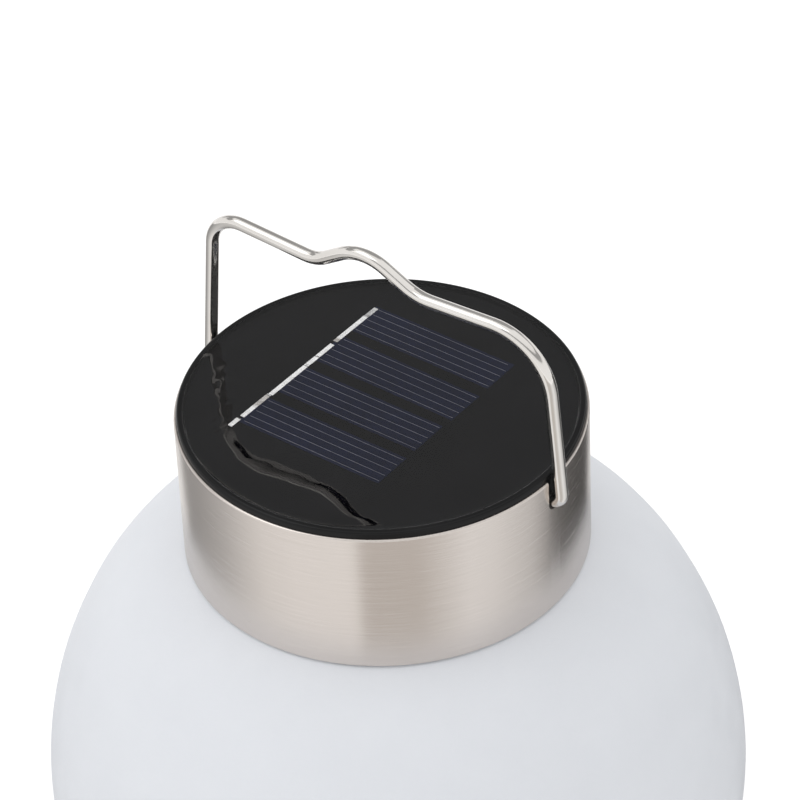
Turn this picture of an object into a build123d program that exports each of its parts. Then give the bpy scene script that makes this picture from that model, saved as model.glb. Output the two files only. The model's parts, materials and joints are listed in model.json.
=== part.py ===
from build123d import *
import math
import os

# Solar jar lantern: a frosted globe jar, a screw-on solar lid and a wire bail.
# Millimetres, +Z up. The origin is the centre of the jar's base, and the bail's pivot runs along X.

# Globe jar
globe_radius = 80.0
globe_half_height = 84.0
globe_centre_z = 69.4
glass_wall = 3.0
base_blend_height = 3.0
foot_inner_radius = 33.0
punt_rise = 2.5
shoulder_rise = 48.6
shoulder_radius = 50.0
throat_radius = 4.0
neck_clearance = 3.2
lip_round = 1.0
globe_steps = 12

# Screw thread between jar and lid
thread_pitch = 5.0
thread_turns = 1.25
thread_depth = 1.8
thread_base_width = 2.2
thread_crest_width = 1.0
thread_crest_gap = 0.4
thread_flank_offset = 1.85
thread_start_above_throat = 3.6
thread_sink = 0.3

# Steel collar and black lid shell
collar_height = 35.0
collar_steel = 0.6
collar_gap = 0.7
skirt_wall = 1.8
skirt_recess = 1.2
rim_height = 1.6
rim_wall = 1.4
rim_round = 0.7
rim_inner_round = 0.3
lid_plate = 2.5
band_clearance = 1.8
core_wall = 1.5
core_outer_wall = 3.4
core_floor = 2.5
core_boss_half_width = 6.0
gasket_thickness = 2.0
gasket_gap = 0.05
gasket_inset = 0.3

# Wire bail, bent by hand, so its two halves differ. Bends are given as x and height above the pivot.
wire_radius = 1.5
pivot_drop = 6.0
seat_drop = 4.0
pin_clearance = 0.08
pin_depth = 6.0
pin_end_gap = 0.6
notch_half_width = 2.0
leg_foot_gap = 0.5
left_leg_lean = 3.8
left_corner_height = 41.1
left_valley = (-15.5, 39.2)
crest = (-2.9, 47.15)
right_valley = (11.0, 39.9)
right_corner_height = 41.3
right_leg_lean = 3.5
foot_bend_radius = 2.6
left_corner_radius = 8.3
left_valley_radius = 9.1
crest_radius = 11.3
right_valley_radius = 13.0
right_corner_radius = 13.8

# Solar panel
board_thickness = 1.6
board_gap = 0.3
resin_below_rim = 0.8
resin_over_strips = 0.9
meniscus_rise = 0.5
meniscus_width = 2.0
strip_length = 37.8
strip_width = 10.1
strip_thickness = 0.3
strip_pitch = 13.08
panel_centre = (-3.1, 2.72)
strip_shifts = (0.5, 0.35, -0.3, -0.5)
strip_tilts = (-1.2, -1.7, -0.9, -1.0)
ribbon_width = 1.15
ribbon_thickness = 0.15
ribbon_tilt = -1.8
# One ribbon: inset from the strips' mean left end, then its two ends along Y from the panel's centre.
ribbon_runs = (
    (1.0, 24.4, 21.3),
    (0.7, 21.2, 9.6),
    (0.5, 8.5, -0.3),
    (0.15, -0.4, -13.25),
    (-0.45, -13.35, -22.7),
    (-0.85, -23.5, -26.7),
)

# Light housing under the lid plate
housing_room = 1.3
housing_wall = 1.6
housing_depth = 20.5
cover_thickness = 1.6
door_margin = 1.15
split_gap = 0.3
boss_radius = 3.0
boss_sink = 0.4
cover_screw_angles = (15, 50, 130, 165)
door_screw_angle = 270
housing_screw_angles = (90, 210, 330)
housing_screw_circle = 22.0
door_tab = (6.0, 5.0, 1.2)
door_tab_half_spacing = 12.0
door_tab_reach = 2.2

# Screws
screw_head_radius = 1.9
screw_head_height = 1.4
screw_radius = 1.0
screw_clearance = 0.05
pilot_extra = 0.4
cover_screw_length = 7.0
housing_screw_length = 3.4
board_screw_length = 6.0

# Rechargeable cell and its contacts
cell_radius = 7.25
cell_length = 50.5
cell_nub_radius = 2.75
cell_nub_height = 1.0
cell_y = -9.0
cell_above_cover = 0.4
saddle_clearance = 0.1
saddle_thickness = 1.6
saddle_half_spacing = 13.0
saddle_side = 1.25
spring_length = 5.0
spring_radius = 3.0
spring_wire = 0.7
spring_turns = 4.0
plate_thickness = 0.4
plate_half_height = 5.5
plate_low_reach = 4.5
plate_lead_margin = 1.2

# Control board with lamp and switch
control_board_half_width = 14.0
control_board_low_y = 2.0
control_board_high_y = 28.0
control_board_thickness = 1.2
board_screw_inset = 3.0
board_boss_radius = 2.6
led_inset = 7.0
led_radius = 2.5
led_length = 8.6
led_flange_radius = 2.9
led_flange_height = 1.0
lens_radius = 7.0
lens_wall = 1.2
lens_flange_radius = 9.0
lens_flange_height = 1.0
led_clearance = 0.2
chip_size = (4.0, 3.0, 1.6)
chip_x = -5.0
chip_inset = 7.0
choke_radius = 3.0
choke_height = 6.5
choke_x = 4.5
choke_inset = 6.5
switch_size = (8.5, 3.7, 3.6)
switch_inset = 4.0
switch_above_cover = 0.8
knob_width = 2.2
knob_depth = 1.6
knob_reach = 1.8
switch_travel = 2.0
switch_slot_depth = 2.0
switch_clearance = 0.15
knob_slot_margin = 0.6

# Insulated leads
lead_radius = 0.5
panel_lead_x = -19.0
panel_lead_y = 8.0
panel_lead_half_spacing = 0.8
panel_lead_bend_drops = (7.5, 10.5)
lead_hole_radius = 2.2
cell_lead_gap = 0.8
cell_lead_above_cell_axis = 3.0
cell_lead_run = 7.25
cell_lead_pad_inset = (1.5, 3.5)
cell_lead_loop_height = 8.0
bend_share = 0.45


# Radii and places that follow from the sizes above, from the cell outwards
cell_room = cell_length + spring_length
saddle_half_width = cell_radius + saddle_clearance + saddle_side
cell_lead_y = cell_y + saddle_half_width + cell_lead_gap
plate_low_y = cell_y - plate_low_reach
plate_high_y = cell_lead_y + plate_lead_margin
split_y = cell_y + cell_radius + door_margin
plate_corner = math.hypot(cell_room / 2 + plate_thickness, plate_low_y)
board_corner = math.hypot(control_board_half_width, control_board_high_y)
housing_inner_radius = max(plate_corner, board_corner) + housing_room
housing_radius = housing_inner_radius + housing_wall
boss_circle = housing_inner_radius - boss_radius + boss_sink
band_inner_radius = housing_radius + band_clearance
neck_bore_radius = housing_radius + neck_clearance
neck_radius = neck_bore_radius + glass_wall
thread_crest_radius = neck_radius + thread_depth
skirt_inner_radius = thread_crest_radius + thread_crest_gap
lid_radius = skirt_inner_radius + skirt_wall
recess_radius = lid_radius - rim_wall
collar_radius = lid_radius + collar_steel
pin_hole_radius = wire_radius + pin_clearance
board_screw_half_spacing = control_board_half_width - board_screw_inset
board_screw_y = (control_board_low_y + control_board_high_y) / 2
led_y = control_board_low_y + led_inset
switch_y = control_board_high_y - switch_inset


# Heights that follow from the sizes above
def slope_at(rise):
    """Angle above horizontal of the globe's wall, going up, at a height above its centre."""
    turn = math.asin(rise / globe_half_height)
    return math.atan2(globe_half_height * math.cos(turn), globe_radius * math.sin(turn))


shoulder_turn = math.asin(shoulder_rise / globe_half_height)
base_turn = math.asin((base_blend_height - globe_centre_z) / globe_half_height)
shoulder_start_radius = globe_radius * math.cos(shoulder_turn)
shoulder_start_slope = slope_at(shoulder_rise)
shoulder_end_slope = math.asin(
    (shoulder_radius * math.sin(shoulder_start_slope) + throat_radius - shoulder_start_radius + neck_radius)
    / (shoulder_radius + throat_radius)
)
shoulder_end_z = (
    globe_centre_z + shoulder_rise
    + shoulder_radius * (math.cos(shoulder_end_slope) - math.cos(shoulder_start_slope))
)
throat_top_z = shoulder_end_z + throat_radius * math.cos(shoulder_end_slope)
base_slope = math.pi - slope_at(base_blend_height - globe_centre_z)
base_blend_radius = base_blend_height / (1 - math.cos(base_slope))
foot_outer_radius = globe_radius * math.cos(base_turn) - base_blend_radius * math.sin(base_slope)


def shoulder_z(radius):
    """Height of the shoulder's outer face at a radius between the throat and the globe."""
    slope = math.asin(math.sin(shoulder_start_slope) - (shoulder_start_radius - radius) / shoulder_radius)
    drop = math.cos(slope) - math.cos(shoulder_start_slope)
    return globe_centre_z + shoulder_rise + shoulder_radius * drop


thread_start_z = throat_top_z + thread_start_above_throat
collar_bottom_z = shoulder_z(collar_radius) + collar_gap
collar_top_z = collar_bottom_z + collar_height
pivot_z = collar_top_z - pivot_drop
seat_z = pivot_z - seat_drop
lip_z = seat_z - gasket_thickness
rim_top_z = collar_top_z + rim_height
resin_top_z = rim_top_z - resin_below_rim
strip_top_z = resin_top_z - resin_over_strips
board_top_z = strip_top_z - strip_thickness
recess_floor_z = board_top_z - board_thickness
plate_bottom_z = recess_floor_z - lid_plate

skirt_bottom_z = collar_bottom_z + skirt_recess
housing_bottom_z = plate_bottom_z - housing_depth
housing_ceiling_z = plate_bottom_z - housing_wall
cover_bottom_z = housing_bottom_z - cover_thickness
cell_z = housing_bottom_z + cell_above_cover + cell_radius
control_board_bottom_z = housing_bottom_z + switch_above_cover + switch_size[2]
control_board_top_z = control_board_bottom_z + control_board_thickness


def turned(edges):
    """Solid of revolution about Z from a closed outline of (radius, height) edges."""
    return revolve(Plane.XZ * make_face(edges), Axis.Z)


def ring(outer, inner, low, high):
    """Flat-ended ring between two heights."""
    outline = Polyline((inner, low), (outer, low), (outer, high), (inner, high), close=True)
    return turned([*outline.edges()])


def disc(radius, low, high):
    """Solid round plate between two heights."""
    return Pos(0, 0, (low + high) / 2) * Cylinder(radius, high - low)


def block(x_range, y_range, z_range):
    """Rectangular block from its limits along each axis."""
    spans = [(low, high) for low, high in (sorted(x_range), sorted(y_range), sorted(z_range))]
    middle = [(low + high) / 2 for low, high in spans]
    size = [high - low for low, high in spans]
    return Pos(*middle) * Box(*size)


def on_circle(radius, angle):
    """Point on a circle about Z at an angle in degrees."""
    return radius * math.cos(math.radians(angle)), radius * math.sin(math.radians(angle))


def heading(degrees):
    """Unit direction in an outline's plane."""
    return math.cos(math.radians(degrees)), math.sin(math.radians(degrees))


# Globe jar
def globe_point(turn, inset):
    """Point of the globe's wall at a parameter of its ellipse, moved inwards square to the wall."""
    across = math.cos(turn) / globe_radius
    up = math.sin(turn) / globe_half_height
    length = math.hypot(across, up)
    radius = globe_radius * math.cos(turn) - inset * across / length
    height = globe_centre_z + globe_half_height * math.sin(turn) - inset * up / length
    return radius, height


def jar_outside():
    """Outline of the outer face, from the base's flat ring up to the rounded lip."""
    base_degrees = math.degrees(base_slope)
    start_degrees = math.degrees(shoulder_start_slope)
    end_degrees = math.degrees(shoulder_end_slope)
    flat = Line((foot_inner_radius, 0), (foot_outer_radius, 0))
    base = JernArc(flat @ 1, (1, 0), base_blend_radius, base_degrees)
    turns = [base_turn + (shoulder_turn - base_turn) * step / globe_steps for step in range(globe_steps + 1)]
    points = [globe_point(turn, 0) for turn in turns]
    globe = Spline(base @ 1, *points[1:], tangents=(heading(base_degrees), heading(180 - start_degrees)))
    shoulder = JernArc(globe @ 1, heading(180 - start_degrees), shoulder_radius, start_degrees - end_degrees)
    throat = JernArc(shoulder @ 1, heading(180 - end_degrees), throat_radius, end_degrees - 90)
    neck = Line(throat @ 1, (neck_radius, lip_z - lip_round))
    return [flat, base, globe, shoulder, throat, neck]


def jar_lip(start):
    """Rounded lip from the neck's outer face over to its bore."""
    outer_round = JernArc(start, (0, 1), lip_round, 90)
    land = Line(outer_round @ 1, (neck_bore_radius + lip_round, lip_z))
    inner_round = JernArc(land @ 1, (-1, 0), lip_round, 90)
    return [outer_round, land, inner_round]


def jar_inside(start):
    """Outline of the inner face, one glass wall inside the outer one, down to the floor."""
    base_degrees = math.degrees(base_slope)
    start_degrees = math.degrees(shoulder_start_slope)
    end_degrees = math.degrees(shoulder_end_slope)
    bore = Line(start, (neck_bore_radius, throat_top_z))
    throat = JernArc(bore @ 1, (0, -1), throat_radius + glass_wall, 90 - end_degrees)
    shoulder = JernArc(throat @ 1, heading(-end_degrees), shoulder_radius - glass_wall, end_degrees - start_degrees)
    turns = [shoulder_turn + (base_turn - shoulder_turn) * step / globe_steps for step in range(globe_steps + 1)]
    points = [globe_point(turn, glass_wall) for turn in turns]
    tangents = (heading(-start_degrees), heading(180 + base_degrees))
    globe = Spline(shoulder @ 1, *points[1:], tangents=tangents)
    base = JernArc(globe @ 1, heading(180 + base_degrees), base_blend_radius - glass_wall, -base_degrees)
    floor = Line(base @ 1, (foot_inner_radius, glass_wall))
    return [bore, throat, shoulder, globe, base, floor]


def thread_ridge(root_radius, side, start_z):
    """Helical ridge standing out from a round wall: side is +1 outwards and -1 inwards."""
    foot = root_radius - side * thread_sink
    crest = root_radius + side * thread_depth
    base_half = thread_base_width / 2
    crest_half = thread_crest_width / 2
    section = Polyline((foot, -base_half), (crest, -crest_half), (crest, crest_half), (foot, base_half), close=True)
    path = Helix(thread_pitch, thread_pitch * thread_turns, root_radius)
    ridge = sweep(Plane.XZ * make_face(section), path=path, is_frenet=True)
    return Pos(0, 0, start_z) * ridge


def globe_jar():
    """Blown glass globe with a threaded neck and a shallow punt in its base."""
    outside = jar_outside()
    lip = jar_lip(outside[-1] @ 1)
    inside = jar_inside(lip[-1] @ 1)
    top_of_punt = TangentArc((0, punt_rise + glass_wall), inside[-1] @ 1, tangent=(1, 0))
    punt = TangentArc((0, punt_rise), (foot_inner_radius, 0), tangent=(1, 0))
    middle = Line((0, punt_rise), (0, punt_rise + glass_wall))
    glass = turned([*outside, *lip, *inside, top_of_punt, punt, middle])
    return glass + thread_ridge(neck_radius, 1, thread_start_z)


def neck_gasket():
    """Flat silicone ring between the jar's lip and the lid's seat."""
    outer = neck_radius - gasket_inset
    inner = neck_bore_radius + gasket_inset
    return ring(outer, inner, lip_z + gasket_gap, seat_z - gasket_gap)


# Lid
def steel_collar():
    """Brushed steel sleeve with a U-notch for each end of the bail."""
    sleeve = ring(collar_radius, lid_radius, collar_bottom_z, collar_top_z)
    reach = collar_radius + collar_steel
    notch_round = Pos(0, 0, pivot_z) * Rot(0, 90, 0) * Cylinder(notch_half_width, 2 * reach)
    notch_top = block((-reach, reach), (-notch_half_width, notch_half_width), (pivot_z, collar_top_z + collar_steel))
    return sleeve - notch_round - notch_top


def lid_blank():
    """Turned body of the lid: plate, seat band, skirt and rim."""
    corners = (
        ((0, plate_bottom_z), 0),
        ((band_inner_radius, plate_bottom_z), 0),
        ((band_inner_radius, seat_z), 0),
        ((skirt_inner_radius, seat_z), 0),
        ((skirt_inner_radius, skirt_bottom_z), 0),
        ((lid_radius, skirt_bottom_z), 0),
        ((lid_radius, rim_top_z), rim_round),
        ((recess_radius, rim_top_z), rim_inner_round),
        ((recess_radius, recess_floor_z), 0),
        ((0, recess_floor_z), 0),
    )
    points = [point for point, round_radius in corners]
    rounds = [round_radius for point, round_radius in corners]
    outline = FilletPolyline(*points, radius=rounds, close=True)
    return turned([*outline.edges()])


def lid_shell():
    """Black lid moulding with the bail's bearings, the seat for the gasket and an inner thread."""
    trench_outer = lid_radius - core_outer_wall
    trench = ring(trench_outer, band_inner_radius + core_wall, seat_z + core_floor, recess_floor_z)
    bosses = block(
        (-lid_radius, lid_radius),
        (-core_boss_half_width, core_boss_half_width),
        (seat_z, recess_floor_z),
    )
    shell = lid_blank() - (trench - bosses)
    for side in (-1, 1):
        hole_end = lid_radius - pin_depth - pin_end_gap
        middle = (hole_end + collar_radius) / 2
        hole = Rot(0, 90, 0) * Cylinder(pin_hole_radius, collar_radius - hole_end)
        shell -= Pos(side * middle, 0, pivot_z) * hole
    shell -= lead_hole(plate_bottom_z, recess_floor_z)
    for angle in housing_screw_angles:
        depth = housing_screw_length - housing_wall + pilot_extra
        x, y = on_circle(housing_screw_circle, angle)
        shell -= Pos(x, y, 0) * disc(screw_radius + screw_clearance, plate_bottom_z, plate_bottom_z + depth)
    return shell + thread_ridge(skirt_inner_radius, -1, thread_start_z - thread_flank_offset)


def lead_hole(low, high):
    """Hole that the panel's two leads share."""
    return Pos(panel_lead_x, panel_lead_y, 0) * disc(lead_hole_radius, low, high)


# Solar panel
def solar_board():
    """Round black board in the lid's recess."""
    return disc(recess_radius - board_gap, recess_floor_z, board_top_z)


def solar_strip(index):
    """One silicon strip, laid by hand at a slight angle."""
    x = panel_centre[0] + strip_shifts[index]
    y = panel_centre[1] + strip_pitch * ((len(strip_shifts) - 1) / 2 - index)
    place = Pos(x, y, board_top_z + strip_thickness / 2) * Rot(0, 0, strip_tilts[index])
    return place * Box(strip_length, strip_width, strip_thickness)


def tab_ribbons():
    """Tinned ribbons soldered along the left ends of the strips."""
    left = panel_centre[0] - strip_length / 2
    ribbons = []
    for inset, far, near in ribbon_runs:
        x = left + inset
        y = panel_centre[1] + (far + near) / 2
        place = Pos(x, y, strip_top_z + ribbon_thickness / 2) * Rot(0, 0, ribbon_tilt)
        ribbons.append(place * Box(ribbon_width, far - near, ribbon_thickness))
    return Compound(children=ribbons)


def resin_cap(strips, ribbons):
    """Clear resin poured over the cells, with a meniscus that climbs the rim."""
    flat_radius = recess_radius - meniscus_width
    edge_z = resin_top_z + meniscus_rise
    sides = Polyline((flat_radius, resin_top_z), (0, resin_top_z), (0, board_top_z), (recess_radius, board_top_z),
                     (recess_radius, edge_z))
    meniscus = TangentArc((flat_radius, resin_top_z), (recess_radius, edge_z), tangent=(1, 0))
    cap = turned([*sides.edges(), meniscus])
    for strip in strips:
        cap -= strip
    for ribbon in ribbons.solids():
        cap -= ribbon
    return cap


# Light housing
def on_cell(x_range, radius):
    """Cylinder about the cell's axis."""
    low, high = x_range
    return Pos((low + high) / 2, cell_y, cell_z) * Rot(0, 90, 0) * Cylinder(radius, high - low)


def boss(place, radius, low, pilot):
    """Round boss from a height up into the housing's ceiling, and its pilot hole."""
    x, y = place
    post = Pos(x, y, 0) * disc(radius, low, plate_bottom_z - housing_wall / 2)
    hole = Pos(x, y, 0) * disc(screw_radius + screw_clearance, low, low + pilot)
    return post, hole


def cover_boss_places():
    """Centres of the bosses that take the screws of the cover and of the battery door."""
    return [on_circle(boss_circle, angle) for angle in (*cover_screw_angles, door_screw_angle)]


def board_screw_places():
    """Centres of the bosses that carry the control board."""
    return [(side * board_screw_half_spacing, board_screw_y) for side in (-1, 1)]


def light_housing():
    """Moulded drum that holds the cell, its contacts and the control board."""
    drum = disc(housing_radius, housing_bottom_z, plate_bottom_z)
    drum -= disc(housing_inner_radius, housing_bottom_z, housing_ceiling_z)
    inside = disc(housing_radius, housing_bottom_z, plate_bottom_z)
    cell_space = on_cell((-cell_room / 2, cell_room / 2), cell_radius + saddle_clearance)
    for side in (-1, 1):
        middle = side * saddle_half_spacing
        half = saddle_thickness / 2
        saddle = block((middle - half, middle + half), (cell_y - saddle_half_width, cell_y + saddle_half_width),
                       (cell_z, housing_ceiling_z + housing_wall / 2))
        drum += saddle - cell_space
        stop = block((side * (cell_room / 2 + plate_thickness), side * housing_radius),
                     (plate_low_y, plate_high_y), (cell_z - plate_half_height, housing_ceiling_z + housing_wall / 2))
        drum += stop & inside
    cover_pilot = cover_screw_length - cover_thickness + pilot_extra
    board_pilot = board_screw_length - control_board_thickness + pilot_extra
    posts = [boss(place, boss_radius, housing_bottom_z, cover_pilot) for place in cover_boss_places()]
    posts += [boss(place, board_boss_radius, control_board_top_z, board_pilot) for place in board_screw_places()]
    for post, hole in posts:
        drum = drum + post - hole
    for angle in housing_screw_angles:
        x, y = on_circle(housing_screw_circle, angle)
        drum -= Pos(x, y, 0) * disc(screw_radius + screw_clearance, housing_ceiling_z, plate_bottom_z)
    return drum - lead_hole(housing_ceiling_z, plate_bottom_z)


def cover_half(side):
    """Half of the round cover plate on one side of the split line: +1 is the lamp's side."""
    plate = disc(housing_radius, cover_bottom_z, housing_bottom_z)
    edge = split_y + side * split_gap / 2
    keep = block((-housing_radius, housing_radius), (edge, side * housing_radius), (cover_bottom_z, housing_bottom_z))
    plate &= keep
    for x, y in cover_boss_places():
        plate -= Pos(x, y, 0) * disc(screw_radius + screw_clearance, cover_bottom_z, housing_bottom_z)
    return plate


def housing_cover():
    """Fixed part of the cover, with the lamp's hole and the switch's slot."""
    plate = cover_half(1)
    plate -= Pos(0, led_y, 0) * disc(led_radius + led_clearance, cover_bottom_z, housing_bottom_z)
    half_length = (knob_width + switch_travel) / 2 + knob_slot_margin
    half_depth = knob_depth / 2 + knob_slot_margin
    return plate - block((-half_length, half_length), (switch_y - half_depth, switch_y + half_depth),
                         (cover_bottom_z, housing_bottom_z))


def battery_door():
    """Screwed door under the cell, with two tabs that hook over the fixed cover."""
    plate = cover_half(-1)
    width, depth, height = door_tab
    high_y = split_y + door_tab_reach
    for side in (-1, 1):
        middle = side * door_tab_half_spacing
        plate += block((middle - width / 2, middle + width / 2), (high_y - depth, high_y),
                       (housing_bottom_z, housing_bottom_z + height))
    return plate


def screw(length):
    """Pan-head screw with its head below the origin and its shank upwards."""
    head = disc(screw_head_radius, -screw_head_height, 0)
    head = fillet(head.edges().sort_by(Axis.Z)[0], screw_head_height / 3)
    slot_half = screw_radius / 4
    slot = block((-screw_head_radius, screw_head_radius), (-slot_half, slot_half),
                 (-screw_head_height, -screw_head_height * 2 / 3))
    return head - slot + disc(screw_radius, 0, length)


def screws(places, seat, length):
    """Group of equal screws on one seating height."""
    return Compound(children=[Pos(x, y, seat) * screw(length) for x, y in places])


# Cell and contacts
def battery_cell():
    """Rechargeable cell with its positive nub towards +X."""
    low = spring_length - cell_room / 2
    high = cell_room / 2
    can = on_cell((low, high - cell_nub_height), cell_radius)
    can = fillet(can.edges(), cell_nub_height / 2)
    return can + on_cell((high - cell_nub_height, high), cell_nub_radius)


def contact_plate(side):
    """Nickelled plate at one end of the cell, wide enough for a lead's joint."""
    inner = side * cell_room / 2
    return block((inner, inner + side * plate_thickness), (plate_low_y, plate_high_y),
                 (cell_z - plate_half_height, cell_z + plate_half_height))


def contact_spring():
    """Coil that presses on the cell's flat end."""
    rise = spring_length - spring_wire
    path = Helix(rise / spring_turns, rise, spring_radius)
    section = Plane(origin=path @ 0, z_dir=path % 0) * Circle(spring_wire / 2)
    coil = sweep(section, path=path, is_frenet=True)
    return Pos(spring_wire / 2 - cell_room / 2, cell_y, cell_z) * Rot(0, 90, 0) * coil


# Control board
def control_board():
    """Small circuit board screwed under the housing's bosses."""
    board = block((-control_board_half_width, control_board_half_width),
                  (control_board_low_y, control_board_high_y), (control_board_bottom_z, control_board_top_z))
    for x, y in board_screw_places():
        board -= Pos(x, y, 0) * disc(screw_radius + screw_clearance, control_board_bottom_z, control_board_top_z)
    return board


def driver_chip():
    """Solar lamp driver on top of the board."""
    length, depth, height = chip_size
    place = Pos(chip_x, control_board_high_y - chip_inset, control_board_top_z + height / 2)
    return place * Box(length, depth, height)


def choke_coil():
    """Drum choke with a waisted body."""
    flange = choke_height / 5
    body = disc(choke_radius, 0, choke_height)
    body -= ring(choke_radius, choke_radius * 5 / 6, flange, choke_height - flange)
    return Pos(choke_x, control_board_high_y - choke_inset, control_board_top_z) * body


def led_lamp():
    """Lamp that points down into the jar."""
    tip_z = control_board_bottom_z - led_length
    body = disc(led_radius, tip_z + led_radius, control_board_bottom_z)
    dome = Pos(0, 0, tip_z + led_radius) * Sphere(led_radius)
    flange = disc(led_flange_radius, control_board_bottom_z - led_flange_height, control_board_bottom_z)
    return Pos(0, led_y, 0) * (body + dome + flange)


def led_lens():
    """Frosted dome over the lamp, seated on the cover."""
    flange_z = cover_bottom_z - lens_flange_height
    inner_radius = lens_radius - lens_wall
    outer = disc(lens_flange_radius, flange_z, cover_bottom_z) + Pos(0, 0, flange_z) * Sphere(lens_radius)
    below = disc(lens_flange_radius, flange_z - lens_radius, cover_bottom_z)
    hollow = Pos(0, 0, flange_z) * Sphere(inner_radius) + disc(inner_radius, flange_z, cover_bottom_z)
    return Pos(0, led_y, 0) * ((outer & below) - hollow)


def switch_body():
    """Slide switch under the board, open below for its knob."""
    length, depth, height = switch_size
    low = control_board_bottom_z - height
    body = Pos(0, switch_y, low + height / 2) * Box(length, depth, height)
    half_length = (knob_width + switch_travel) / 2 + switch_clearance
    half_depth = knob_depth / 2 + switch_clearance
    return body - block((-half_length, half_length), (switch_y - half_depth, switch_y + half_depth),
                        (low, low + switch_slot_depth))


def switch_slider():
    """Knob of the switch, at rest at the off end of its slot."""
    top = control_board_bottom_z - switch_size[2] + switch_slot_depth - switch_clearance
    low_x = -(knob_width + switch_travel) / 2
    return block((low_x, low_x + knob_width), (switch_y - knob_depth / 2, switch_y + knob_depth / 2),
                 (cover_bottom_z - knob_reach, top))


# Leads
def bend_radii(points):
    """Radius of each bend of a lead, from its shorter run and its turn."""
    vectors = [Vector(*point) for point in points]
    radii = []
    for before, here, after in zip(vectors, vectors[1:], vectors[2:]):
        arriving = here - before
        leaving = after - here
        shorter = min(arriving.length, leaving.length)
        half_turn = math.radians(arriving.get_angle(leaving)) / 2
        radii.append(bend_share * shorter / math.tan(half_turn))
    return radii


def lead(points):
    """Insulated lead through a list of points."""
    path = FilletPolyline(*points, radius=bend_radii(points))
    section = Plane(origin=path @ 0, z_dir=path % 0) * Circle(lead_radius)
    return sweep(section, path=path)


def panel_lead(side):
    """Lead from the solar board down to the control board."""
    y = panel_lead_y + side * panel_lead_half_spacing
    upper, lower = panel_lead_bend_drops
    return lead([
        (panel_lead_x, y, recess_floor_z),
        (panel_lead_x, y, recess_floor_z - upper),
        (-board_screw_half_spacing, y, recess_floor_z - lower),
        (-board_screw_half_spacing, y, control_board_top_z),
    ])


def cell_lead(side):
    """Lead from one contact plate to the control board."""
    start_z = cell_z + cell_lead_above_cell_axis
    bend_x = cell_room / 2 - cell_lead_run
    pad_x = control_board_half_width - cell_lead_pad_inset[0]
    pad_y = control_board_low_y + cell_lead_pad_inset[1]
    loop_z = control_board_top_z + cell_lead_loop_height
    return lead([
        (side * cell_room / 2, cell_lead_y, start_z),
        (side * bend_x, cell_lead_y, start_z),
        (side * pad_x, pad_y, loop_z),
        (side * pad_x, pad_y, control_board_top_z),
    ])


# Bail
def bail_handle():
    """Bent wire bail: pins, leaning legs, a bar and a hump near the middle to hang from."""
    foot_x = collar_radius + leg_foot_gap + wire_radius
    pin_x = lid_radius - pin_depth
    bends = (
        (-foot_x, 0, foot_bend_radius),
        (left_leg_lean - foot_x, left_corner_height, left_corner_radius),
        (*left_valley, left_valley_radius),
        (*crest, crest_radius),
        (*right_valley, right_valley_radius),
        (foot_x - right_leg_lean, right_corner_height, right_corner_radius),
        (foot_x, 0, foot_bend_radius),
    )
    route = [(-pin_x, 0), *[(x, height) for x, height, radius in bends], (pin_x, 0)]
    points = [(x, 0, pivot_z + height) for x, height in route]
    path = FilletPolyline(*points, radius=[radius for x, height, radius in bends])
    section = Plane(origin=path @ 0, z_dir=path % 0) * Circle(wire_radius)
    return sweep(section, path=path)


def lantern():
    """All the pieces by name."""
    strips = [solar_strip(index) for index in range(len(strip_shifts))]
    ribbons = tab_ribbons()
    cover_places = [on_circle(boss_circle, angle) for angle in cover_screw_angles]
    door_places = [on_circle(boss_circle, door_screw_angle)]
    housing_places = [on_circle(housing_screw_circle, angle) for angle in housing_screw_angles]
    pieces = {
        "globe_jar": globe_jar(),
        "neck_gasket": neck_gasket(),
        "steel_collar": steel_collar(),
        "lid_shell": lid_shell(),
        "solar_board": solar_board(),
        "tab_ribbons": ribbons,
        "resin_cap": resin_cap(strips, ribbons),
        "light_housing": light_housing(),
        "housing_screws": screws(housing_places, housing_ceiling_z, housing_screw_length),
        "housing_cover": housing_cover(),
        "cover_screws": screws(cover_places, cover_bottom_z, cover_screw_length),
        "battery_door": battery_door(),
        "door_screw": screws(door_places, cover_bottom_z, cover_screw_length),
        "battery_cell": battery_cell(),
        "contact_spring": contact_spring(),
        "spring_plate": contact_plate(-1),
        "nub_plate": contact_plate(1),
        "control_board": control_board(),
        "board_screws": screws(board_screw_places(), control_board_bottom_z, board_screw_length),
        "driver_chip": driver_chip(),
        "choke_coil": choke_coil(),
        "led_lamp": led_lamp(),
        "led_lens": led_lens(),
        "switch_body": switch_body(),
        "switch_slider": switch_slider(),
        "panel_lead_red": panel_lead(1),
        "panel_lead_black": panel_lead(-1),
        "battery_lead_red": cell_lead(1),
        "battery_lead_black": cell_lead(-1),
        "bail_handle": bail_handle(),
    }
    for index, strip in enumerate(strips):
        pieces[f"solar_strip_{index + 1}"] = strip
    return pieces


os.makedirs("parts", exist_ok=True)
for name, piece in lantern().items():
    export_step(piece, f"parts/{name}.step")
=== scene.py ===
# Solar jar lantern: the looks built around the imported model. Metres, in the model's own frame.
import json
import math

import bmesh
import bpy
from mathutils import Matrix, Vector, noise


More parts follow.
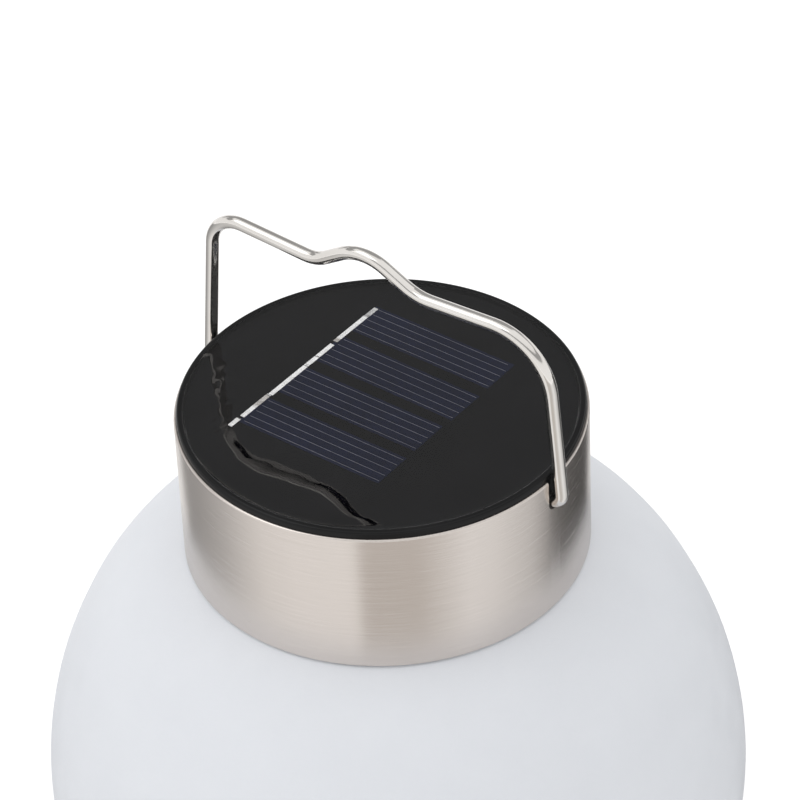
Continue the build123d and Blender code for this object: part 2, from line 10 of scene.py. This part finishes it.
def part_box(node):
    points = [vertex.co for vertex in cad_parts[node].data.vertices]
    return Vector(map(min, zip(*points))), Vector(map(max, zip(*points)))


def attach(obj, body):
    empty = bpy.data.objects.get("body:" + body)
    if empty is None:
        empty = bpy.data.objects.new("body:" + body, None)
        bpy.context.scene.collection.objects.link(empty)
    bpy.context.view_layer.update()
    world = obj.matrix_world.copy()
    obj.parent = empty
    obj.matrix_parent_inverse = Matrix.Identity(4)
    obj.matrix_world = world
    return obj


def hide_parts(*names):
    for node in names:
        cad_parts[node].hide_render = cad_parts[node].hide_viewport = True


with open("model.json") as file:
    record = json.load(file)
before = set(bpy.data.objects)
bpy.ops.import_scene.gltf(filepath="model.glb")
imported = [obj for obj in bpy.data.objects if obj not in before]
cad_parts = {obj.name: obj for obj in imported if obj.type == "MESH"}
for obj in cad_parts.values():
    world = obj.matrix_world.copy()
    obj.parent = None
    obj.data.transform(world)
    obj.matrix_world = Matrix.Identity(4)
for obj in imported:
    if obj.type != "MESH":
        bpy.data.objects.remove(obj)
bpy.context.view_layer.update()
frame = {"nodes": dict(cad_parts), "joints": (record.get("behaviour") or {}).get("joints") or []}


# Camera: matched to the photo by the collar's ellipses and the globe's outline
CAMERA_PLACE = (0.43315, -0.56246, 0.73289)
CAMERA_TARGET = (0.00324, 0.00247, 0.17250)
CAMERA_ROLL = math.radians(-2.626)
LENS_MM = 188.58
SENSOR_MM = 36

# Stage
WORLD_LIGHT = 0.88
FLOOR_GLOW = 0.35
FLOOR_PAPER = 0.86
FLOOR_HALF = 4.0
FLOOR_DROP = 0.0002
LAMP_PLACE = (-0.9, -1.0, 1.7)
LAMP_TARGET = (0, 0, 0.12)
LAMP_SIZE = 1.4
LAMP_WATTS = 5.5

# Cards that only reflections show: inner and outer edge as (radius, height), and the directions in degrees
# from +X that they reach between
FLOOR_CARD = ((0.001, 0.0002), (1.5, 0.0002), -180, 180)
DARK_GREY = 0.38
DARK_CARDS = {
    "ceiling_card": ((0.4, 1.6), (3.3, 1.6), 88, 155),
    "back_card": ((3.3, 0.8), (3.3, 1.6), 88, 165),
    "ceiling_ring": ((1.55, 1.601), (2.8, 1.601), 155, 448),
}
CARD_STEPS = 96
# Floor card: direction round the lantern in degrees from +X, grey, and warmth
FLOOR_GREYS = (
    (-180, 0.33, 0.0),
    (-162, 0.40, 0.0),
    (-145, 0.53, 0.0),
    (-118, 0.86, 0.01),
    (-100, 0.94, 0.01),
    (-70, 0.96, 0.01),
    (-65, 0.60, 0.05),
    (-38, 0.60, 0.05),
    (-12, 0.93, 0.0),
    (2, 0.88, 0.0),
    (26, 0.66, 0.0),
    (48, 0.12, 0.0),
    (84, 0.06, 0.0),
    (92, 0.95, 0.0),
    (125, 1.0, 0.0),
    (150, 1.0, 0.0),
    (170, 1.0, 0.0),
    (177, 0.33, 0.0),
    (180, 0.33, 0.0),
)


# Camera, stage and light
def aim(thing, place, target, roll=0.0):
    """Puts a camera or lamp at a place, looking at a target."""
    away = (Vector(place) - Vector(target)).normalized()
    right = Vector((0, 0, 1)).cross(away).normalized()
    axes = Matrix((right, away.cross(right), away)).transposed().to_4x4()
    thing.matrix_world = Matrix.Translation(place) @ Matrix.Rotation(roll, 4, away) @ axes


def make_camera():
    data = bpy.data.cameras.new("camera")
    data.lens = LENS_MM
    data.sensor_width = SENSOR_MM
    data.clip_start = 0.05
    data.clip_end = 20
    camera = link(bpy.data.objects.new("camera", data))
    aim(camera, CAMERA_PLACE, CAMERA_TARGET, CAMERA_ROLL)
    bpy.context.scene.camera = camera


def link(obj):
    bpy.context.scene.collection.objects.link(obj)
    return obj


def make_lamp():
    """One large soft lamp from the left of the camera."""
    data = bpy.data.lights.new("key", "AREA")
    data.shape = "RECTANGLE"
    data.size = LAMP_SIZE
    data.size_y = LAMP_SIZE
    data.energy = LAMP_WATTS
    aim(link(bpy.data.objects.new("key", data)), LAMP_PLACE, LAMP_TARGET)


def node(tree, kind, inputs=None, **settings):
    """Adds a shader node, and links or sets its inputs by name or number."""
    made = tree.nodes.new(kind)
    for key, value in settings.items():
        setattr(made, key, value)
    for key, value in (inputs or {}).items():
        if isinstance(value, bpy.types.NodeSocket):
            tree.links.new(value, made.inputs[key])
        else:
            made.inputs[key].default_value = value
    return made


def seen_directly(tree):
    """1 for rays from the camera, a mirror or through glass, and 0 for light that falls on the object."""
    path = node(tree, "ShaderNodeLightPath").outputs
    either = node(tree, "ShaderNodeMath", {0: path["Is Camera Ray"], 1: path["Is Glossy Ray"]},
                  operation="MAXIMUM")
    any_of_them = node(tree, "ShaderNodeMath", {0: either.outputs[0], 1: path["Is Transmission Ray"]},
                       operation="MAXIMUM")
    return any_of_them.outputs[0]


def make_world():
    """Even white surroundings: plain light on the object, and pure white where they are seen or mirrored."""
    world = bpy.data.worlds.new("studio")
    bpy.context.scene.world = world
    world.use_nodes = True
    tree = world.node_tree
    strength = node(tree, "ShaderNodeMapRange",
                    {"Value": seen_directly(tree), "To Min": WORLD_LIGHT, "To Max": 1.0})
    background = tree.nodes["Background"]
    background.inputs["Color"].default_value = (1, 1, 1, 1)
    tree.links.new(strength.outputs[0], background.inputs["Strength"])


def sheet_mesh(name, corners, faces):
    """Sheet of the stage, through corners and in the faces given."""
    mesh = bpy.data.meshes.new(name)
    mesh.from_pydata(corners, [], faces)
    sheet = link(bpy.data.objects.new(name, mesh))
    return sheet


def make_floor():
    """White paper floor, just below the jar's foot."""
    far = FLOOR_HALF
    corners = [(x, y, -FLOOR_DROP) for x, y in ((-far, -far), (far, -far), (far, far), (-far, far))]
    floor = sheet_mesh("floor", corners, [range(4)])
    made = bpy.data.materials.new("floor_paper")
    made.use_nodes = True
    tree = made.node_tree
    shader = tree.nodes["Principled BSDF"]
    shader.inputs["Base Color"].default_value = (FLOOR_PAPER, FLOOR_PAPER, FLOOR_PAPER, 1)
    shader.inputs["Roughness"].default_value = 0.9
    shader.inputs["Specular IOR Level"].default_value = 0.1
    shader.inputs["Emission Color"].default_value = (1, 1, 1, 1)
    glow = node(tree, "ShaderNodeMapRange",
                {"Value": seen_directly(tree), "To Min": 0.0, "To Max": FLOOR_GLOW})
    tree.links.new(glow.outputs[0], shader.inputs["Emission Strength"])
    made.cycles.emission_sampling = "NONE"
    floor.data.materials.append(made)


def only_in_reflections(obj):
    """A studio card that shows in glossy surfaces, and neither lights nor hides anything."""
    obj.visible_camera = False
    obj.visible_diffuse = False
    obj.visible_shadow = False
    obj.visible_transmission = False
    obj.visible_volume_scatter = False


def arc_card(name, inner, outer, start, stop):
    """Card about Z between two (radius, height) edges, from one direction in degrees to another."""
    corners = []
    for step in range(CARD_STEPS + 1):
        turn = math.radians(start + (stop - start) * step / CARD_STEPS)
        corners += [(r * math.cos(turn), r * math.sin(turn), z) for r, z in (inner, outer)]
    faces = [(low, low + 1, low + 3, low + 2) for low in range(0, 2 * CARD_STEPS, 2)]
    card = sheet_mesh(name, corners, faces)
    only_in_reflections(card)
    return card


def tone_ramp(tree, value, stops):
    """Greys along a value from 0 to 1: each stop is (place, grey, warmth)."""
    ramp = node(tree, "ShaderNodeValToRGB", {0: value})
    colours = ramp.color_ramp.elements
    while len(colours) > 1:
        colours.remove(colours[-1])
    for index, (place, grey, warmth) in enumerate(stops):
        stop = colours[0] if index == 0 else colours.new(place)
        stop.position = place
        stop.color = (grey * (1 + warmth), grey, grey * (1 - warmth), 1)
    return ramp.outputs[0]


def position(tree):
    return node(tree, "ShaderNodeTexCoord").outputs["Object"]


def direction_share(tree, place):
    """Direction round Z as a share of a full turn, from -X by way of -Y."""
    split = node(tree, "ShaderNodeSeparateXYZ", {0: place})
    angle = node(tree, "ShaderNodeMath", {0: split.outputs[1], 1: split.outputs[0]}, operation="ARCTAN2")
    share = node(tree, "ShaderNodeMapRange",
                 {"Value": angle.outputs[0], "From Min": -math.pi, "From Max": math.pi})
    return share.outputs[0]


def painted(name, card, stops):
    """Gives a card greys by direction: each stop is (share of a turn, grey, warmth)."""
    made = bpy.data.materials.new(name)
    made.use_nodes = True
    made.cycles.emission_sampling = "NONE"
    tree = made.node_tree
    tree.nodes.clear()
    greys = tone_ramp(tree, direction_share(tree, position(tree)), stops)
    glow = node(tree, "ShaderNodeEmission", {"Color": greys, "Strength": 1.0})
    node(tree, "ShaderNodeOutputMaterial", {"Surface": glow.outputs[0]})
    card.data.materials.append(made)


def make_cards():
    """A floor card that the steel mirrors as soft bands, and dark cards overhead for resin and wire."""
    stops = [((degrees + 180) / 360, grey, warmth) for degrees, grey, warmth in FLOOR_GREYS]
    painted("floor_cards", arc_card("floor_cards", *FLOOR_CARD), stops)
    for name, extent in DARK_CARDS.items():
        painted(name, arc_card(name, *extent), [(0.0, DARK_GREY, 0.0), (1.0, DARK_GREY, 0.0)])


make_camera()
make_world()
make_floor()
make_cards()
make_lamp()
bpy.context.scene.view_settings.view_transform = "Standard"


# Materials
def principled(name, **values):
    """A new material with values set on its Principled shader."""
    made = bpy.data.materials.new(name)
    made.use_nodes = True
    shader = made.node_tree.nodes["Principled BSDF"]
    for key, value in values.items():
        shader.inputs[key.replace("_", " ")].default_value = value
    return made, made.node_tree, shader


def noise_at(tree, vector, scale, detail, roughness=0.5):
    made = node(tree, "ShaderNodeTexNoise",
                {"Vector": vector, "Scale": scale, "Detail": detail, "Roughness": roughness})
    return made.outputs[0]


def spread(tree, value, low, high):
    """Maps a noise value, which is mostly between 0.3 and 0.7, to a range."""
    made = node(tree, "ShaderNodeMapRange",
                {"Value": value, "From Min": 0.3, "From Max": 0.7, "To Min": low, "To Max": high})
    return made.outputs[0]


def tint(tree, factor, dark, light):
    """Mixes two colours by a factor."""
    mix = node(tree, "ShaderNodeMix", {"Factor": factor}, data_type="RGBA")
    mix.inputs[6].default_value = (*dark, 1)
    mix.inputs[7].default_value = (*light, 1)
    return mix.outputs[2]


def bump(tree, shader, height, distance, strength=1.0):
    """Roughens a shader's surface by a height, over a distance in metres."""
    made = node(tree, "ShaderNodeBump", {"Height": height, "Distance": distance, "Strength": strength})
    tree.links.new(made.outputs[0], shader.inputs["Normal"])


def moulded(name, dark, light, roughness, grain=2500, depth=0.00002, **values):
    """Moulded or coated surface: fine grain, and slight unevenness in colour and gloss."""
    made, tree, shader = principled(name, **values)
    place = position(tree)
    patches = noise_at(tree, place, scale=60, detail=4)
    tree.links.new(tint(tree, spread(tree, patches, 0, 1), dark, light), shader.inputs["Base Color"])
    gloss = noise_at(tree, place, scale=140, detail=3)
    tree.links.new(spread(tree, gloss, roughness - 0.05, roughness + 0.07), shader.inputs["Roughness"])
    bump(tree, shader, noise_at(tree, place, grain, detail=2), depth)
    return made


def frosted_glass():
    """White frosted glass, which lets light spread a little under its surface."""
    made = moulded("frosted_glass", (0.785, 0.805, 0.845), (0.805, 0.825, 0.865), 0.5,
                   grain=1500, depth=0.00004)
    shader = made.node_tree.nodes["Principled BSDF"]
    shader.inputs["Subsurface Weight"].default_value = 0.25
    shader.inputs["Subsurface Radius"].default_value = (0.004, 0.004, 0.004)
    shader.inputs["Specular IOR Level"].default_value = 0.3
    return made


def brushed_steel():
    """Steel brushed round Z: fine level lines, and highlights stretched up and down."""
    made, tree, shader = principled("brushed_steel", Metallic=1.0, Anisotropic=0.8, Anisotropic_Rotation=0.25)
    split = node(tree, "ShaderNodeSeparateXYZ", {0: position(tree)})
    angle = node(tree, "ShaderNodeMath", {0: split.outputs[1], 1: split.outputs[0]}, operation="ARCTAN2")
    unrolled = node(tree, "ShaderNodeCombineXYZ", {0: angle.outputs[0], 1: 0.0, 2: split.outputs[2]})
    stretched = node(tree, "ShaderNodeMapping", {"Vector": unrolled.outputs[0], "Scale": (2.5, 1, 3500)})
    lines = noise_at(tree, stretched.outputs[0], scale=1.0, detail=4, roughness=0.65)
    colour = tint(tree, spread(tree, lines, 0, 1), (0.685, 0.632, 0.592), (0.735, 0.68, 0.64))
    tree.links.new(colour, shader.inputs["Base Color"])
    tree.links.new(spread(tree, lines, 0.21, 0.28), shader.inputs["Roughness"])
    bump(tree, shader, lines, 0.0000007)
    tangent = node(tree, "ShaderNodeTangent", direction_type="RADIAL", axis="Z")
    tree.links.new(tangent.outputs[0], shader.inputs["Tangent"])
    return made


def metal(name, dark, light, roughness):
    return moulded(name, dark, light, roughness, grain=900, depth=0.000008, Metallic=1.0)


# Painted reflection along Y on the tinned ribbons, as bright and dull stretches and thin dark breaks:
# millimetres, grey, and warmth
RIBBON_PAINTED_REFLECTION = (
    (-21.1, 0.95, 0.0), (-20.9, 0.12, 0.0), (-20.6, 0.92, 0.0), (-16.0, 0.95, 0.0), (-15.0, 0.50, 0.04),
    (-11.4, 0.55, 0.04), (-11.0, 0.10, 0.0), (-10.6, 0.95, 0.0), (1.7, 0.92, 0.0), (1.9, 0.12, 0.0),
    (2.1, 0.95, 0.0), (5.6, 0.92, 0.0), (5.8, 0.15, 0.0), (6.0, 0.95, 0.0), (11.4, 0.95, 0.0),
    (11.6, 0.10, 0.0), (12.0, 0.42, 0.05), (13.5, 0.45, 0.05), (13.9, 0.88, 0.0), (23.2, 0.95, 0.0),
    (23.5, 0.30, 0.0), (23.9, 0.60, 0.0),
)


def tinned_ribbon():
    """Tinned copper ribbon with painted reflection along it: bright and dull stretches, and thin dark breaks.
    """
    made, tree, shader = principled("tinned_ribbon", Metallic=1.0)
    place = position(tree)
    split = node(tree, "ShaderNodeSeparateXYZ", {0: place})
    wander = spread(tree, noise_at(tree, place, scale=900, detail=2), -0.0002, 0.0002)
    along = node(tree, "ShaderNodeMath", {0: split.outputs[1], 1: wander}, operation="ADD")
    low = RIBBON_PAINTED_REFLECTION[0][0] / 1000
    high = RIBBON_PAINTED_REFLECTION[-1][0] / 1000
    share = node(tree, "ShaderNodeMapRange", {"Value": along.outputs[0], "From Min": low, "From Max": high})
    stops = [((y / 1000 - low) / (high - low), grey, warmth) for y, grey, warmth in RIBBON_PAINTED_REFLECTION]
    # The base colour carries the painted reflection: bright and dull stretches and thin dark breaks along Y.
    tree.links.new(tone_ramp(tree, share.outputs[0], stops), shader.inputs["Base Color"])
    gloss = noise_at(tree, place, scale=700, detail=3)
    tree.links.new(spread(tree, gloss, 0.14, 0.32), shader.inputs["Roughness"])
    bump(tree, shader, noise_at(tree, place, scale=1300, detail=3), 0.00006)
    return made


def clear_resin():
    """Clear poured resin with a faint waviness."""
    made, tree, shader = principled("clear_resin", IOR=1.5, Transmission_Weight=1.0, Roughness=0.02)
    shader.inputs["Base Color"].default_value = (1, 1, 1, 1)
    bump(tree, shader, noise_at(tree, position(tree), scale=90, detail=1), 0.0003, strength=0.3)
    return made


def printed_silver():
    """Silver ink of the cells' lines, dull under the resin."""
    return moulded("printed_silver", (0.22, 0.22, 0.27), (0.31, 0.31, 0.37), 0.4, grain=4000,
                   Specular_IOR_Level=0.0)


finishes = {
    "frosted_glass": frosted_glass(),
    "silicone": moulded("silicone", (0.62, 0.61, 0.58), (0.68, 0.67, 0.64), 0.45),
    "brushed_steel": brushed_steel(),
    "black_plastic": moulded("black_plastic", (0.009, 0.009, 0.0095), (0.013, 0.013, 0.0135), 0.14,
                             Specular_IOR_Level=0.16),
    "board_black": moulded("board_black", (0.0035, 0.0034, 0.0045), (0.0065, 0.0063, 0.0080), 0.5,
                           Specular_IOR_Level=0.0),
    "tinned_ribbon": tinned_ribbon(),
    "clear_resin": clear_resin(),
    "white_plastic": moulded("white_plastic", (0.74, 0.74, 0.73), (0.78, 0.78, 0.77), 0.4),
    "screw_steel": metal("screw_steel", (0.45, 0.45, 0.46), (0.55, 0.55, 0.56), 0.3),
    "cell_sleeve": moulded("cell_sleeve", (0.03, 0.25, 0.10), (0.04, 0.30, 0.13), 0.3),
    "contact_nickel": metal("contact_nickel", (0.60, 0.57, 0.52), (0.68, 0.65, 0.60), 0.3),
    "circuit_board": moulded("circuit_board", (0.01, 0.09, 0.04), (0.015, 0.12, 0.05), 0.4),
    "chip_black": moulded("chip_black", (0.012, 0.012, 0.012), (0.02, 0.02, 0.02), 0.5),
    "choke_dark": moulded("choke_dark", (0.02, 0.02, 0.022), (0.04, 0.038, 0.036), 0.6),
    "lamp_body": moulded("lamp_body", (0.75, 0.74, 0.66), (0.80, 0.79, 0.72), 0.2),
    "lens_frost": moulded("lens_frost", (0.76, 0.77, 0.78), (0.82, 0.83, 0.84), 0.5),
    "switch_case": metal("switch_case", (0.50, 0.50, 0.51), (0.60, 0.60, 0.61), 0.35),
    "switch_knob": moulded("switch_knob", (0.010, 0.010, 0.010), (0.016, 0.016, 0.016), 0.4),
    "lead_red": moulded("lead_red", (0.45, 0.015, 0.01), (0.55, 0.02, 0.015), 0.4),
    "lead_black": moulded("lead_black", (0.010, 0.010, 0.011), (0.018, 0.018, 0.018), 0.4),
    "bail_wire": metal("bail_wire", (0.73, 0.70, 0.665), (0.80, 0.775, 0.745), 0.11),
    "silicon": moulded("silicon", (0.009, 0.013, 0.040), (0.013, 0.018, 0.052), 0.3,
                       Specular_IOR_Level=0.0),
}
slot_of = {
    "globe_jar": "frosted_glass",
    "neck_gasket": "silicone",
    "steel_collar": "brushed_steel",
    "lid_shell": "black_plastic",
    "solar_board": "board_black",
    "tab_ribbons": "tinned_ribbon",
    "resin_cap": "clear_resin",
    "light_housing": "white_plastic",
    "housing_screws": "screw_steel",
    "housing_cover": "white_plastic",
    "cover_screws": "screw_steel",
    "battery_door": "white_plastic",
    "door_screw": "screw_steel",
    "battery_cell": "cell_sleeve",
    "contact_spring": "contact_nickel",
    "spring_plate": "contact_nickel",
    "nub_plate": "contact_nickel",
    "control_board": "circuit_board",
    "board_screws": "screw_steel",
    "driver_chip": "chip_black",
    "choke_coil": "choke_dark",
    "led_lamp": "lamp_body",
    "led_lens": "lens_frost",
    "switch_body": "switch_case",
    "switch_slider": "switch_knob",
    "panel_lead_red": "lead_red",
    "panel_lead_black": "lead_black",
    "battery_lead_red": "lead_red",
    "battery_lead_black": "lead_black",
    "bail_handle": "bail_wire",
    "solar_strip_1": "silicon",
    "solar_strip_2": "silicon",
    "solar_strip_3": "silicon",
    "solar_strip_4": "silicon",
}
for name, slot in slot_of.items():
    mesh = frame["nodes"][name].data
    mesh.materials.clear()
    mesh.materials.append(finishes[slot])


# Pieces
def mesh_object(name, shape, slot, sharp):
    """Turns a bmesh into an object that rides on the lid and takes a slot's finish."""
    mesh = bpy.data.meshes.new(name)
    shape.to_mesh(mesh)
    shape.free()
    mesh.shade_smooth()
    mesh.set_sharp_from_angle(angle=math.radians(sharp))
    made = link(bpy.data.objects.new(name, mesh))
    mesh.materials.append(finishes[slot])
    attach(made, "lid")
    return made


def lathe(outline, steps):
    """Surface of revolution about Z of a closed outline of (radius, height) points."""
    shape = bmesh.new()
    rings = []
    for step in range(steps):
        turn = 2 * math.pi * step / steps
        rings.append([shape.verts.new((r * math.cos(turn), r * math.sin(turn), z)) for r, z in outline])
    count = len(outline)
    for here, there in zip(rings, rings[1:] + rings[:1]):
        for low in range(count):
            high = (low + 1) % count
            shape.faces.new((here[low], there[low], there[high], here[high]))
    bmesh.ops.remove_doubles(shape, verts=shape.verts, dist=SAME_POINT)
    bmesh.ops.recalc_face_normals(shape, faces=shape.faces)
    return shape


def rounded(corners, steps):
    """Outline with its corners rounded: each corner is (radius, height, rounding)."""
    outline = []
    count = len(corners)
    for index, (r, z, size) in enumerate(corners):
        here = Vector((r, z))
        if size == 0:
            outline.append(here)
            continue
        before = (Vector(corners[index - 1][:2]) - here).normalized()
        after = (Vector(corners[(index + 1) % count][:2]) - here).normalized()
        half = before.angle(after) / 2
        centre = here + (before + after).normalized() * size / math.sin(half)
        start = here + before * size / math.tan(half) - centre
        turn = start.angle_signed(here + after * size / math.tan(half) - centre)
        for step in range(steps + 1):
            bent = start.copy()
            bent.rotate(Matrix.Rotation(-turn * step / steps, 2))
            outline.append(centre + bent)
    return [tuple(point) for point in outline]


def apply_modifiers(obj):
    graph = bpy.context.evaluated_depsgraph_get()
    mesh = bpy.data.meshes.new_from_object(obj.evaluated_get(graph))
    obj.modifiers.clear()
    obj.data = mesh


# Sizes below are in metres, and these two limits between smooth and sharp edges in degrees
SOFT_EDGE = 60
CRISP_EDGE = 35
SAME_POINT = 1e-7

# Poured resin: it reaches a little into the lid's wall and floor, and climbs the rim
RESIN_OVERLAP = 0.00015
RESIN_SUNK = 0.00005
RESIN_BELOW_RIM = 0.0001
MENISCUS_WIDTH = 0.0016
MENISCUS_RISE = 0.00012
MENISCUS_STEPS = 8
RESIN_RINGS = 110
RESIN_STEPS = 480
# Slow and quick waves of the resin: waves per metre, place in the noise, and height
WAVES = ((38, 3.1, 0.00009), (95, 7.7, 0.00002))
# Wrinkled spots of the resin: centre, reach, and depth
RIPPLES = (
    ((-0.0373, -0.0079), 0.0045, 0.00009),
    ((-0.0330, -0.0125), 0.0045, 0.00009),
    ((-0.0290, -0.0175), 0.0045, 0.00009),
    ((-0.0250, -0.0260), 0.0040, 0.00012),
)
WRINKLES_PER_METRE = 420
WRINKLE_LAYER = 1.3
CALM_EDGE = 0.004


def ripple(x, y):
    """Unevenness of the poured resin."""
    height = 0
    for per_metre, layer, depth in WAVES:
        height += depth * noise.noise(Vector((x * per_metre, y * per_metre, layer)))
    for (centre_x, centre_y), reach, depth in RIPPLES:
        share = math.hypot(x - centre_x, y - centre_y) / reach
        if share < 1:
            spot = Vector((x * WRINKLES_PER_METRE, y * WRINKLES_PER_METRE, WRINKLE_LAYER))
            height += depth * noise.noise(spot) * (1 - share * share) ** 2
    return height


def make_resin():
    """Poured resin: uneven on top, climbing the rim all round."""
    low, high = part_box("resin_cap")
    edge = high.x + RESIN_OVERLAP
    bottom = low.z - RESIN_SUNK
    flat = edge - MENISCUS_WIDTH
    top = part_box("lid_shell")[1].z - RESIN_BELOW_RIM - MENISCUS_RISE
    outline = [(0, bottom), (edge, bottom), (edge, top + MENISCUS_RISE)]
    for step in range(1, MENISCUS_STEPS + 1):
        share = 1 - step / MENISCUS_STEPS
        outline.append((flat + share * (edge - flat), top + MENISCUS_RISE * share ** 2))
    for ring in range(1, RESIN_RINGS + 1):
        outline.append((flat * (1 - ring / RESIN_RINGS), top))
    shape = lathe(outline, RESIN_STEPS)
    for vert in shape.verts:
        x, y, z = vert.co
        if z > (top + bottom) / 2:
            calm = min(1, max(0, (edge - math.hypot(x, y)) / CALM_EDGE))
            vert.co.z = z + ripple(x, y) * calm
    made = mesh_object("poured_resin", shape, "clear_resin", SOFT_EDGE)
    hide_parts("resin_cap")


# Rim ring and lining: they lie just over the lid shell's own faces, and the resin's edge ends inside the ring
RIM_COVER = 0.00001
RIM_RAISED = 0.00002
RIM_INSIDE_RESIN = 0.00012
RIM_FOOT_BELOW_COLLAR = 0.0004
RIM_OUTER_ROUNDING = 0.0007
RIM_INNER_ROUNDING = 0.0004
LINING_WALL = 0.00005
LINING_BELOW_RIM = 0.0006
ROUND_STEPS = 360


def make_rim():
    """Glossy rounded rim over the lid's edge, and a lining of the recess that the resin fills."""
    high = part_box("lid_shell")[1]
    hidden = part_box("resin_cap")[1].x - RIM_INSIDE_RESIN
    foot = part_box("steel_collar")[1].z - RIM_FOOT_BELOW_COLLAR
    side = high.x + RIM_COVER
    crest = high.z + RIM_RAISED
    corners = [(hidden, foot, 0), (side, foot, 0), (side, crest, RIM_OUTER_ROUNDING),
               (hidden, crest, RIM_INNER_ROUNDING)]
    mesh_object("rim_gloss", lathe(rounded(corners, steps=8), ROUND_STEPS), "black_plastic", SOFT_EDGE)
    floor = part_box("solar_board")[0].z
    under = high.z - LINING_BELOW_RIM
    inside = hidden - LINING_WALL
    lining = [(inside, floor), (hidden, floor), (hidden, under), (inside, under)]
    mesh_object("recess_lining", lathe(lining, ROUND_STEPS), "board_black", SOFT_EDGE)


# Printed lines on the strips. The short one is given as (strip, line from the middle)
STRIP_TILTS = (-1.2, -1.7, -0.9, -1.0)
STRIP_LENGTH = 0.0378
FINGER_SPACING = 0.002125
FINGER_WIDTH = 0.00013
FINGER_THICK = 0.00002
FINGER_START = 0.0012
FINGER_END = 0.0003
SHORT_FINGER = (0, 2)
SHORT_FINGER_END = 0.0013


def make_fingers():
    """Five printed silver lines along each silicon strip. One line of the first strip ends early."""
    shape = bmesh.new()
    start = -STRIP_LENGTH / 2 + FINGER_START
    for index, tilt in enumerate(STRIP_TILTS):
        low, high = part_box(f"solar_strip_{index + 1}")
        centre = (low + high) / 2
        strip = Matrix.Translation((centre.x, centre.y, high.z)) @ Matrix.Rotation(math.radians(tilt), 4, "Z")
        for line in range(-2, 3):
            end = SHORT_FINGER_END if (index, line) == SHORT_FINGER else FINGER_END
            stop = STRIP_LENGTH / 2 - end
            place = Matrix.Translation(((start + stop) / 2, line * FINGER_SPACING, 0))
            size = Matrix.Diagonal((stop - start, FINGER_WIDTH, FINGER_THICK, 1))
            bmesh.ops.create_cube(shape, size=1, matrix=strip @ place @ size)
    made = mesh_object("finger_lines", shape, "tinned_ribbon", CRISP_EDGE)
    made.data.materials[0] = printed_silver()


# Collar's sleeve: its wall, its roundings, and the notch that the bail's foot sits in
COLLAR_WALL = 0.0006
COLLAR_ROUNDINGS = {"low_inner": 0.00012, "low_outer": 0.00025, "high_outer": 0.00045, "high_inner": 0.0001}
NOTCH_HALF = 0.002
NOTCH_STEPS = 16
NOTCH_PAST_EDGE = 0.001
NOTCH_REACH = 0.05


def notch_cutter(top, pivot_z):
    """Bar along X with a round bottom, which cuts the notch on both sides at once."""
    outline = [(-NOTCH_HALF, top), (NOTCH_HALF, top)]
    for step in range(NOTCH_STEPS + 1):
        turn = math.pi * step / NOTCH_STEPS
        outline.append((NOTCH_HALF * math.cos(turn), pivot_z - NOTCH_HALF * math.sin(turn)))
    shape = bmesh.new()
    ends = [[shape.verts.new((x, y, z)) for y, z in outline] for x in (-NOTCH_REACH, NOTCH_REACH)]
    shape.faces.new(ends[0])
    shape.faces.new(list(reversed(ends[1])))
    count = len(outline)
    for index in range(count):
        following = (index + 1) % count
        shape.faces.new((ends[0][index], ends[1][index], ends[1][following], ends[0][following]))
    bmesh.ops.recalc_face_normals(shape, faces=shape.faces)
    mesh = bpy.data.meshes.new("notch")
    shape.to_mesh(mesh)
    shape.free()
    return link(bpy.data.objects.new("notch", mesh))


def make_collar():
    """Brushed sleeve with rounded edges and a U-notch on each side."""
    low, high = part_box("steel_collar")
    outer = high.x
    inner = outer - COLLAR_WALL
    sizes = COLLAR_ROUNDINGS
    corners = [(inner, low.z, sizes["low_inner"]), (outer, low.z, sizes["low_outer"]),
               (outer, high.z, sizes["high_outer"]), (inner, high.z, sizes["high_inner"])]
    shape = lathe(rounded(corners, steps=4), ROUND_STEPS)
    sleeve = mesh_object("brushed_sleeve", shape, "brushed_steel", CRISP_EDGE)
    tool = notch_cutter(high.z + NOTCH_PAST_EDGE, bail_pivot_height())
    cut = sleeve.modifiers.new("notch", "BOOLEAN")
    cut.operation = "DIFFERENCE"
    cut.solver = "EXACT"
    cut.object = tool
    apply_modifiers(sleeve)
    sleeve.data.set_sharp_from_angle(angle=math.radians(CRISP_EDGE))
    bpy.data.objects.remove(tool)
    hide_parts("steel_collar")


def bail_pivot_height():
    joint = next(joint for joint in frame["joints"] if joint["name"] == "bail_swing")
    return joint["pos_m"][2]


make_resin()
make_rim()
make_fingers()
make_collar()
